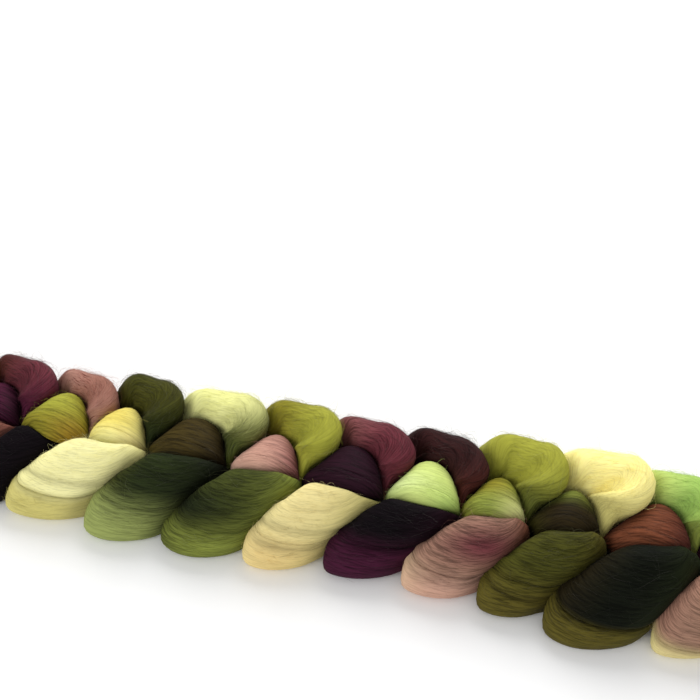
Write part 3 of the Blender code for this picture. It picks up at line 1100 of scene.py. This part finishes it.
@dataclass(frozen=True)
class LooseFibreFinish:
    """The finish of the loose hairs: their own dye, a little uneven along each hair."""

    name: str = "loose_wool_fibre"
    tone: Span = Span(0.3, 0.7, 0.85, 1.15)
    rough: Span = Span(0.3, 0.7, 0.45, 0.65)
    sheen: float = 0.02
    shine: float = 0.15

    def build(self, fibres: bpy.types.NodeTree) -> bpy.types.Material:
        """Make the material.

        Args:
            fibres: The fibre streaks group.

        Returns:
            The material for the hairs.
        """
        material, nodes = Nodes.material(self.name)
        group = nodes.add("ShaderNodeGroup", node_tree=fibres, inputs={
            "Fibre": nodes.attribute("fibre", "Vector")})
        tone = nodes.span(group.outputs["Streak"], self.tone)
        nodes.shade({"Base Color": nodes.tint(nodes.attribute("dye", "Color"), tone),
                     "Roughness": nodes.span(group.outputs["Lock"], self.rough),
                     "Specular IOR Level": self.shine, "Sheen Weight": self.sheen})
        return material


def lay_corners(u: list[np.ndarray], v: list[np.ndarray]) -> np.ndarray:
    """Join each face's two places along and two across into its four corners on the map."""
    return np.stack([np.stack([u[a], v[b]], -1) for a, b in ((0, 0), (1, 0), (1, 1), (0, 1))], axis=-2)


def fill(items: bpy.types.bpy_prop_collection, name: str, values: np.ndarray,
         kind: type = np.float32) -> None:
    """Set one property of every item at once."""
    items.foreach_set(name, values.astype(kind).ravel())


def make_piece(name: str, points: np.ndarray, faces: np.ndarray, material: bpy.types.Material,
               uv: np.ndarray, vectors: dict[str, np.ndarray], colours: dict[str, np.ndarray],
               hidden: np.ndarray | None = None) -> bpy.types.Object:
    """Make a smooth mesh piece that stands for the solid and rides with it.

    Args:
        name: The piece's name.
        points: Its points, in metres.
        faces: Its faces, a row of corners each; a triangle repeats its last corner.
        material: Its finish.
        uv: A place on the unit square for each kept corner, in the order of the faces.
        vectors: Named vectors for each point.
        colours: Named colours for each point, in linear light.
        hidden: True for each face inside the braid, which must not bend the light of its neighbours.

    Returns:
        The new object, linked to the scene.
    """
    solid = faces[:, -1] != faces[:, -2]
    totals = np.where(solid, faces.shape[1], faces.shape[1] - 1)
    keep = np.ones(faces.shape, bool)
    keep[~solid, -1] = False
    corners = faces[keep]
    mesh = bpy.data.meshes.new(name)
    mesh.vertices.add(len(points))
    fill(mesh.vertices, "co", points)
    mesh.loops.add(len(corners))
    fill(mesh.loops, "vertex_index", corners, np.int32)
    mesh.polygons.add(len(faces))
    fill(mesh.polygons, "loop_start", np.concatenate([[0], np.cumsum(totals)[:-1]]), np.int32)
    fill(mesh.uv_layers.new(name="OFBake").data, "uv", uv[keep])
    for label, values in vectors.items():
        fill(mesh.attributes.new(label, "FLOAT_VECTOR", "POINT").data, "vector", values)
    for label, values in colours.items():
        shown = np.concatenate([values, np.ones((len(values), 1))], axis=1)
        fill(mesh.attributes.new(label, "FLOAT_COLOR", "POINT").data, "color", shown)
    mesh.update(calc_edges=True)
    fill(mesh.polygons, "use_smooth", np.ones(len(faces)) if hidden is None else ~hidden, bool)
    mesh.validate()
    mesh.materials.append(material)
    piece = bpy.data.objects.new(name, mesh)
    bpy.context.scene.collection.objects.link(piece)
    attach(piece, BODY)
    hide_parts(CAD_NODE)
    LOG.info("%s: %d points, %d triangles", name, len(points), int((totals - 2).sum()))
    return piece


@dataclass
class DyeAndShadePlan:
    """Which dye each point of each ply carries, darkened by painted shade in creases and where passes meet.

    Streak_tone is how dark streaks are beside their dye, crease_shade how much painted shade darkens it where
    passes meet, and darkest_shade the darkest that painted shade can make it.
    """

    strand: DoubledStrand
    streak_tone: float = 0.82
    crease_shade: float = 0.34
    darkest_shade: float = 0.2

    def paint(self, side: Side) -> tuple[np.ndarray, np.ndarray]:
        """Give a ply's dye and streak colour at every point of its outer face, with painted shade where
        passes meet and in grooves and creases.

        Args:
            side: The ply's side of the strand.

        Returns:
            Two arrays of rings by points by 3, in linear light.
        """
        strand = self.strand
        stations, upper, lower, streak = [], [], [], []
        for knot in strand.path.knots:
            for n, station in enumerate((knot.left, knot.middle, knot.right)):
                stations.append(station)
                upper.append(knot.dyes.upper[n].linear())
                lower.append(knot.dyes.lower[n].linear())
                streak.append(knot.dyes.streak.linear() if knot.dyes.streak else lower[-1])
        split = strand.per_lobe(lambda knot: knot.dyes.split)[:, None]
        soft = strand.per_lobe(lambda knot: knot.dyes.soft)[:, None]
        share = ease((strand.across[side] + split) / soft * 0.5 + 0.5)[..., None]
        above, below = self.carry(stations, upper)[:, None], self.carry(stations, lower)[:, None]
        dye = below * (1.0 - share) + above * share
        other = strand.per_lobe(lambda knot: 1.0 if knot.dyes.streak else 0.0)[:, None, None]
        under = dye * self.streak_tone * (1.0 - other) + self.carry(stations, streak)[:, None] * other
        for splash in SPLASHES:
            amount = self.cover(splash, side)[..., None]
            dye = dye * (1.0 - amount) + splash.dye.linear() * amount
            under = under * (1.0 - amount) + splash.dye.linear() * self.streak_tone * amount
        # painted shade: darken the dye where another pass comes close, in the groove between the plies and
        # along creases
        tone = 1.0 - self.crease_shade * strand.shade_closeness[side] ** 4 - strand.hollow_shade[side]
        tone = np.maximum(tone, self.darkest_shade)[..., None]
        return dye * tone, under * tone

    def cover(self, splash: Splash, side: Side) -> np.ndarray:
        """Work out how strongly a splash covers each point of a ply.

        Args:
            splash: The splash.
            side: The ply's side of the strand.

        Returns:
            Rings by points, from 0 to 1.
        """
        along = self.strand.lobe_run(splash.stitch, splash.leg)[:, None]
        away = ((along - splash.along) / splash.long) ** 2 + (
            (self.strand.across[side] - splash.across) / splash.broad) ** 2
        return splash.strength * np.exp(-away)

    def carry(self, stations: list[float], values: list[np.ndarray]) -> np.ndarray:
        """Ease three-part values from each station to the next, ring by ring."""
        parts = np.array(values).T
        return np.stack([self.strand.between(stations, list(part)) for part in parts], axis=1)


@dataclass
class RovingPly:
    """One ply of the doubled roving, a closed tube along the whole braid.

    Its face shows, and its wall lies hidden against the other ply. The map lays the tube out in rows,
    with a little room round each, and both end fans in the room that map_spare rings leave at the end
    of the last row.
    """

    name: str
    strand: DoubledStrand
    side: Side
    wall_points: int = 3
    map_rows: int = 6
    map_spare: int = 6
    map_edge: float = 0.04
    map_end: float = 0.002
    map_face: float = 0.9
    fan_along: float = 0.991
    fan_first: float = 0.35
    fan_next: float = 0.30
    fan_radius: float = 0.004

    def build(self, material: bpy.types.Material, plan: DyeAndShadePlan) -> bpy.types.Object:
        """Make the ply's mesh with its fibre coordinates, dyes and map.

        Args:
            material: The combed wool finish.
            plan: Which dye lies where.

        Returns:
            The ply.
        """
        arc = self.strand.surface[self.side]
        rings, count = arc.shape[0], arc.shape[1] + self.wall_points
        step = np.linspace(0.0, 1.0, self.wall_points + 2)[1:-1]
        skin = self.wrap(arc, step)
        turn = 2.0 * math.pi * self.strand.turn[self.side]
        run = np.broadcast_to((self.strand.path.length * self.strand.path.pitch)[:, None], turn.shape)
        core = self.strand.girth / (2.0 * math.pi)
        place = self.wrap(np.stack([run, core * np.cos(turn), core * np.sin(turn)], axis=-1), step)
        # the dye and streak colours with painted shade already multiplied in
        dye, streak = plan.paint(self.side)
        spread, under = self.wrap(dye, step), self.wrap(streak, step)
        i, j = np.meshgrid(np.arange(rings - 1), np.arange(count), indexing="ij")
        k = (j + 1) % count
        faces = np.stack([i * count + j, (i + 1) * count + j, (i + 1) * count + k, i * count + k], -1)
        uv = self.chart(i, j, rings, count)
        points = skin.reshape(-1, 3)
        ends, end_uv, tips = self.close_ends(skin, rings, count)
        extra = [0, rings - 1]
        points, faces = np.concatenate([points, tips]), np.concatenate([faces.reshape(-1, 4), ends])
        uv = np.concatenate([uv.reshape(-1, 4, 2), end_uv])
        fibre = np.concatenate([place.reshape(-1, 3), place[extra, 0]])
        colours = {"dye": np.concatenate([spread.reshape(-1, 3), dye[extra, 0]]),
                   "under_dye_and_shade": np.concatenate([under.reshape(-1, 3), streak[extra, 0]])}
        hidden = np.concatenate([(j >= self.strand.arc_points - 1).ravel(), np.ones(len(ends), bool)])
        return make_piece(self.name, points, faces, material, uv, {"fibre": fibre}, colours, hidden)

    @staticmethod
    def wrap(values: np.ndarray, step: np.ndarray) -> np.ndarray:
        """Carry the outer face's values on over the hidden wall."""
        wall = values[:, -1:] * (1.0 - step)[None, :, None] + values[:, :1] * step[None, :, None]
        return np.concatenate([values, wall], axis=1)

    def chart(self, i: np.ndarray, j: np.ndarray, rings: int, count: int) -> np.ndarray:
        """Lay the tube's faces on the unit square, in rows that follow the strand.

        Args:
            i: The ring of each face's first corner.
            j: The point on that ring.
            rings: How many rings the tube has.
            count: How many points a ring has.

        Returns:
            The faces' four corners on the map.
        """
        per_row = math.ceil(rings / self.map_rows) + self.map_spare
        row = i // per_row
        wall = np.linspace(self.map_face, 1.0, self.wall_points + 2)
        edge = np.concatenate([np.linspace(0.0, self.map_face, count - self.wall_points), wall[1:]])
        u = [self.map_end + (1.0 - 2.0 * self.map_end) * (ring - row * per_row) / per_row
             for ring in (i, i + 1)]
        v = [(row + self.map_edge + (1.0 - 2.0 * self.map_edge) * edge[point]) / self.map_rows
             for point in (j, j + 1)]
        return lay_corners(u, v)

    def close_ends(self, skin: np.ndarray, rings: int,
                   count: int) -> tuple[np.ndarray, np.ndarray, np.ndarray]:
        """Close both ends of the tube with a fan.

        Args:
            skin: Rings by points by 3, the tube.
            rings: How many rings it has.
            count: How many points a ring has.

        Returns:
            The fans' faces, their corners on the map, and the two middle points.
        """
        ring = np.arange(count)
        after = (ring + 1) % count
        last = (rings - 1) * count
        first_tip, last_tip = np.full(count, rings * count), np.full(count, rings * count + 1)
        start = np.stack([ring, after, first_tip, first_tip], -1)
        stop = np.stack([last + after, last + ring, last_tip, last_tip], -1)
        turn = 2.0 * math.pi * np.arange(count + 1) / count
        rim = np.stack([np.cos(turn), np.sin(turn)], -1)
        charts = []
        for n, (a, b) in enumerate(((ring, ring + 1), (ring + 1, ring))):
            down = self.fan_first / self.map_rows + self.fan_next * n / self.map_rows
            centre = np.array([self.fan_along, 1.0 - down])
            hub = np.broadcast_to(centre, (count, 2))
            one, other = centre + self.fan_radius * rim[a], centre + self.fan_radius * rim[b]
            charts.append(np.stack([one, other, hub, hub], axis=1))
        tips = np.stack([skin[0].mean(axis=0), skin[-1].mean(axis=0)])
        return np.concatenate([start, stop]), np.concatenate(charts), tips


@dataclass
class LooseFibres:
    """Hairs that lie close to the top or stand proud of it, over the free faces of the plies.

    Lengths are in metres. Thickness is a hair's least and greatest part of the radius, taper what is
    left of it at the tip, drift and curve how far a hair wanders round the ply, in points of a ring,
    and lift how far hairs rise, with a shape and a scale of its own for the chances. A share of them
    are bowed, and the rest rise towards their tips. None starts below lowest, on a face pressed more
    than free allows, or near the ends of the strand. Root is how deep a hair starts below the face,
    stray how uneven it is, and apart and across place it among the fibre coordinates. The pale fields
    say how far a hair's colour may go from the dye below it to pale, and level_way is any way that no
    hair runs in.
    """

    name: str
    strand: DoubledStrand
    count: int = 5600
    nodes: int = 6
    sides: int = 3
    radius: float = 0.00004
    thickness: tuple[float, float] = (0.7, 1.2)
    taper: float = 0.45
    shortest: float = 0.006
    longest: float = 0.022
    drift: float = 2.2
    curve: float = 0.8
    lift: float = 0.0011
    lift_shape: float = 1.3
    lift_scale: float = 0.75
    bowed: float = 0.45
    rise: float = 1.4
    root: float = 0.0001
    stray: float = 0.0001
    floor_gap: float = 0.0002
    lowest: float = 0.008
    free: float = 0.975
    bare_rings: int = 8
    seed: int = 1
    pale: tuple[float, float, float] = (0.8, 0.76, 0.62)
    paler: float = 0.03
    pale_most: float = 2.5
    pale_power: int = 4
    pale_least: float = 0.25
    pale_rate: float = 5.0
    level_way: tuple[float, float, float] = (0.3, 0.2, 0.93)
    apart: float = 0.0031
    across: float = 0.4
    map_edge: float = 0.12

    def build(self, material: bpy.types.Material, plan: DyeAndShadePlan) -> bpy.types.Object:
        """Make the hairs as thin three-sided tubes that follow the fibres below them.

        Args:
            material: The loose fibre finish.
            plan: Which dye lies where.

        Returns:
            The hairs, as one piece.
        """
        rng = np.random.default_rng(self.seed)
        grown = [self.grow(side, rng, plan, self.count // len(Side)) for side in Side]
        line, tint, run = (np.concatenate(parts) for parts in zip(*grown))
        total = len(line)
        points = self.tubes(line, rng)
        hair, node, corner = np.meshgrid(np.arange(total), np.arange(self.nodes - 1), np.arange(self.sides),
                                         indexing="ij")
        base = (hair * self.nodes + node) * self.sides
        after = (corner + 1) % self.sides
        up = base + self.sides
        faces = np.stack([base + corner, up + corner, up + after, base + after], -1).reshape(-1, 4)
        place = np.empty(points.shape)
        place[..., 0] = run[:, :, None]
        place[..., 1] = self.apart * np.arange(total)[:, None, None]
        place[..., 2] = self.across
        colour = np.broadcast_to(tint[:, None, None], points.shape)
        uv = self.chart(hair, node, corner, total)
        return make_piece(self.name, points.reshape(-1, 3), faces, material, uv,
                          {"fibre": place.reshape(-1, 3)}, {"dye": colour.reshape(-1, 3)})

    def tubes(self, line: np.ndarray, rng: np.random.Generator) -> np.ndarray:
        """Give each hair its thickness.

        Args:
            line: Hairs by nodes by 3, the middle of each hair.
            rng: Where the chances come from.

        Returns:
            Hairs by nodes by sides by 3, in metres.
        """
        way = np.gradient(line, axis=1)
        way /= np.linalg.norm(way, axis=2)[..., None]
        aside = np.cross(way, np.array(self.level_way))
        aside /= np.linalg.norm(aside, axis=2)[..., None]
        above = np.cross(aside, way)
        thick = (self.radius * rng.uniform(*self.thickness, len(line))[:, None]
                 * np.linspace(1.0, self.taper, self.nodes))
        turns = 2.0 * math.pi * np.arange(self.sides) / self.sides
        return line[:, :, None] + thick[..., None, None] * (
            np.cos(turns)[None, None, :, None] * aside[:, :, None]
            + np.sin(turns)[None, None, :, None] * above[:, :, None])

    def grow(self, side: Side, rng: np.random.Generator, plan: DyeAndShadePlan,
             count: int) -> tuple[np.ndarray, np.ndarray, np.ndarray]:
        """Lay hairs over one ply.

        Args:
            side: The ply's side of the strand.
            rng: Where the chances come from.
            plan: Which dye lies where.
            count: How many hairs to lay.

        Returns:
            Hairs by nodes by 3 in metres, each hair's colour, and its run along the strand.
        """
        skin, share = self.strand.surface[side], self.strand.shares[side]
        rings, points = skin.shape[:2]
        normal = self.outward(skin)
        free = (share > self.free) & (skin[..., 2] > self.lowest)
        free[:self.bare_rings], free[-self.bare_rings:] = False, False
        spots = np.argwhere(free)
        chosen = spots[rng.integers(0, len(spots), count)]
        step = self.strand.path.ring_step
        length = rng.uniform(self.shortest, self.longest, count)
        t = np.linspace(0.0, 1.0, self.nodes)
        way = rng.choice([-1.0, 1.0], count)
        ring = chosen[:, :1] + (way * length / step)[:, None] * t
        drift = (rng.normal(0.0, self.drift, count)[:, None] * t
                 + rng.normal(0.0, self.curve, count)[:, None] * t ** 2)
        point = chosen[:, 1:] + rng.uniform(-0.5, 0.5, count)[:, None] + drift
        ring, point = np.clip(ring, 0.0, rings - 1.001), np.clip(point, 0.0, points - 1.001)
        base = self.sample(skin, ring, point)
        up = self.sample(normal, ring, point)
        up /= np.linalg.norm(up, axis=2)[..., None] + 1e-9
        lift = self.lift * rng.gamma(self.lift_shape, self.lift_scale, count)
        bow = np.where((rng.random(count) < self.bowed)[:, None], np.sin(math.pi * t), t ** self.rise)
        line = base + up * (lift[:, None] * bow - self.root)[..., None]
        line += rng.normal(0.0, self.stray, line.shape) * t[None, :, None]
        line[..., 2] = np.maximum(line[..., 2], self.floor_gap)
        # each hair takes the colour of the top below it, painted shade included
        dye = plan.paint(side)[0][chosen[:, 0], chosen[:, 1]]
        return line, self.fade(dye, rng.random((count, 1))), ring * step

    def fade(self, dye: np.ndarray, chance: np.ndarray) -> np.ndarray:
        """Make a few hairs paler than the top below them, and less so on dark dyes.

        Args:
            dye: Hairs by 3, the dye below each.
            chance: Hairs by 1, from 0 to 1.

        Returns:
            Hairs by 3, their colours.
        """
        on_dye = np.minimum(1.0, self.pale_least + self.pale_rate * dye[:, 1:2])
        share = self.paler * self.pale_most * chance ** self.pale_power * on_dye
        return dye * (1.0 - share) + share * np.array(self.pale)

    @staticmethod
    def outward(skin: np.ndarray) -> np.ndarray:
        """Find the way out of a ply's face at each of its points.

        Args:
            skin: Rings by points by 3.

        Returns:
            The same number of ways, each 1 long.
        """
        normal = np.cross(np.gradient(skin, axis=0), np.gradient(skin, axis=1))
        out = skin - skin.mean(axis=1, keepdims=True)
        normal *= np.sign((normal * out).sum(axis=2))[..., None]
        normal /= np.linalg.norm(normal, axis=2)[..., None] + 1e-12
        return normal

    @staticmethod
    def sample(grid: np.ndarray, ring: np.ndarray, point: np.ndarray) -> np.ndarray:
        """Read a grid of vectors between its rows and columns.

        Args:
            grid: Rings by points by 3.
            ring: Where to read it, in rings.
            point: Where to read it, in points of a ring.

        Returns:
            The vectors there.
        """
        i, j = ring.astype(int), point.astype(int)
        u, v = (ring - i)[..., None], (point - j)[..., None]
        return ((grid[i, j] * (1.0 - u) + grid[i + 1, j] * u) * (1.0 - v)
                + (grid[i, j + 1] * (1.0 - u) + grid[i + 1, j + 1] * u) * v)

    def chart(self, hair: np.ndarray, node: np.ndarray, corner: np.ndarray, total: int) -> np.ndarray:
        """Give every hair a small cell of its own on the unit square.

        Args:
            hair: The hair of each face.
            node: The node it starts from.
            corner: The side of the tube it is on.
            total: How many hairs there are.

        Returns:
            The faces' four corners on the map.
        """
        cells = math.ceil(math.sqrt(total))
        row, column = hair // cells, hair % cells
        inner = 1.0 - 2.0 * self.map_edge
        u = [(column + self.map_edge + inner * along / (self.nodes - 1)) / cells
             for along in (node, node + 1)]
        v = [(row + self.map_edge + inner * around / self.sides) / cells for around in (corner, corner + 1)]
        return lay_corners(u, v).reshape(-1, 4, 2)


class SoftLight(NamedTuple):
    """A square light that points at the middle of the braid: its place, its side and its watts."""

    name: str
    place: tuple[float, float, float]
    size: float
    power: float


@dataclass
class Studio:
    """The plain pale floor, the soft light and the camera.

    Lengths are in metres, angles in degrees, and the lens and the sensor in millimetres.
    """

    floor_size: float = 8.0
    floor_tone: float = 0.93
    floor_mottle: float = 0.004
    mottle_scale: float = 40.0
    floor_rough: float = 0.9
    floor_shine: float = 0.1
    sky_strength: float = 0.66
    lights: tuple[SoftLight, ...] = (SoftLight("window_light", (0.1, 1.15, 1.05), 1.0, 20.0),
                                     SoftLight("side_light", (-0.9, -1.0, 0.7), 0.7, 7.0))
    look_at: tuple[float, float, float] = (-0.00053, 0.12918, 0.0)
    distance: float = 0.5985
    azimuth: float = 13.5
    elevation: float = 43.3
    lens: float = 46.29
    sensor: float = 36.0
    nearest: float = 0.01

    def build(self) -> None:
        """Make the floor, the lights and the camera."""
        self.lay_floor()
        self.light()
        self.place_camera()

    def lay_floor(self) -> None:
        """Lay a wide matt floor at the height the braid rests on."""
        half = self.floor_size / 2.0
        mesh = bpy.data.meshes.new("studio_floor")
        mesh.from_pydata([(-half, -half, 0.0), (half, -half, 0.0), (half, half, 0.0), (-half, half, 0.0)],
                         [], [(0, 1, 2, 3)])
        material, nodes = Nodes.material("matt_floor")
        noise = nodes.add("ShaderNodeTexNoise", {
            "Scale": self.mottle_scale, "Vector": nodes.add("ShaderNodeTexCoord").outputs["Object"]})
        tones = Span(0.2, 0.8, self.floor_tone - self.floor_mottle, self.floor_tone + self.floor_mottle)
        grey = nodes.span(noise.outputs["Fac"], tones)
        colour = nodes.add("ShaderNodeCombineColor", {n: grey for n in range(3)})
        nodes.shade({"Base Color": colour.outputs[0], "Roughness": self.floor_rough,
                     "Specular IOR Level": self.floor_shine})
        mesh.materials.append(material)
        floor = bpy.data.objects.new("studio_floor", mesh)
        bpy.context.scene.collection.objects.link(floor)

    def light(self) -> None:
        """Add an even sky and two large soft lights."""
        scene = bpy.context.scene
        world = bpy.data.worlds.new("studio_sky")
        world.use_nodes = True
        background = world.node_tree.nodes["Background"]
        background.inputs["Color"].default_value = (1.0, 1.0, 1.0, 1.0)
        background.inputs["Strength"].default_value = self.sky_strength
        scene.world = world
        scene.view_settings.view_transform = "Standard"
        for light in self.lights:
            data = bpy.data.lights.new(light.name, "AREA")
            data.shape = "SQUARE"
            data.size = light.size
            data.energy = light.power
            lamp = bpy.data.objects.new(light.name, data)
            lamp.location = light.place
            lamp.rotation_euler = Vector(light.place).to_track_quat("Z", "Y").to_euler()
            scene.collection.objects.link(lamp)

    def place_camera(self) -> None:
        """Stand the camera to the near side, looking down across the braid."""
        turn, rise = math.radians(self.azimuth), math.radians(self.elevation)
        back = Vector((math.sin(turn) * math.cos(rise), -math.cos(turn) * math.cos(rise), math.sin(rise)))
        data = bpy.data.cameras.new("studio_camera")
        data.sensor_width = self.sensor
        data.lens = self.lens
        data.clip_start = self.nearest
        camera = bpy.data.objects.new("studio_camera", data)
        camera.location = Vector(self.look_at) + back * self.distance
        camera.rotation_euler = back.to_track_quat("Z", "Y").to_euler()
        bpy.context.scene.collection.objects.link(camera)
        bpy.context.scene.camera = camera


@dataclass
class RovingBraid:
    """The braid: two plies of combed top and the hairs that stand off them."""

    path: StrandPath = field(default_factory=StrandPath)

    def build(self) -> list[bpy.types.Object]:
        """Make every piece of the braid.

        Returns:
            The plies and the hairs.
        """
        strand = DoubledStrand(self.path)
        plan = DyeAndShadePlan(strand)
        fibres = FibreGroup().build()
        wool = CombedWoolFinish().build(fibres)
        hair = LooseFibreFinish().build(fibres)
        close = LooseFibres("loose_fibres_close", strand, seed=3)
        proud = LooseFibres("loose_fibres_proud", strand, count=6600, nodes=5, radius=0.00006,
                            shortest=0.0025, longest=0.0085, seed=5, paler=0.06, lift=0.0016, lowest=0.012)
        return [RovingPly("roving_ply_first", strand, Side.PLUS).build(wool, plan),
                RovingPly("roving_ply_second", strand, Side.MINUS).build(wool, plan),
                close.build(hair, plan), proud.build(hair, plan)]


def main() -> None:
    """Build the braid, its floor, its light and its camera."""
    logging.basicConfig(level=logging.INFO, format="%(message)s")
    RovingBraid().build()
    Studio().build()


if __name__ == "__main__":
    main()
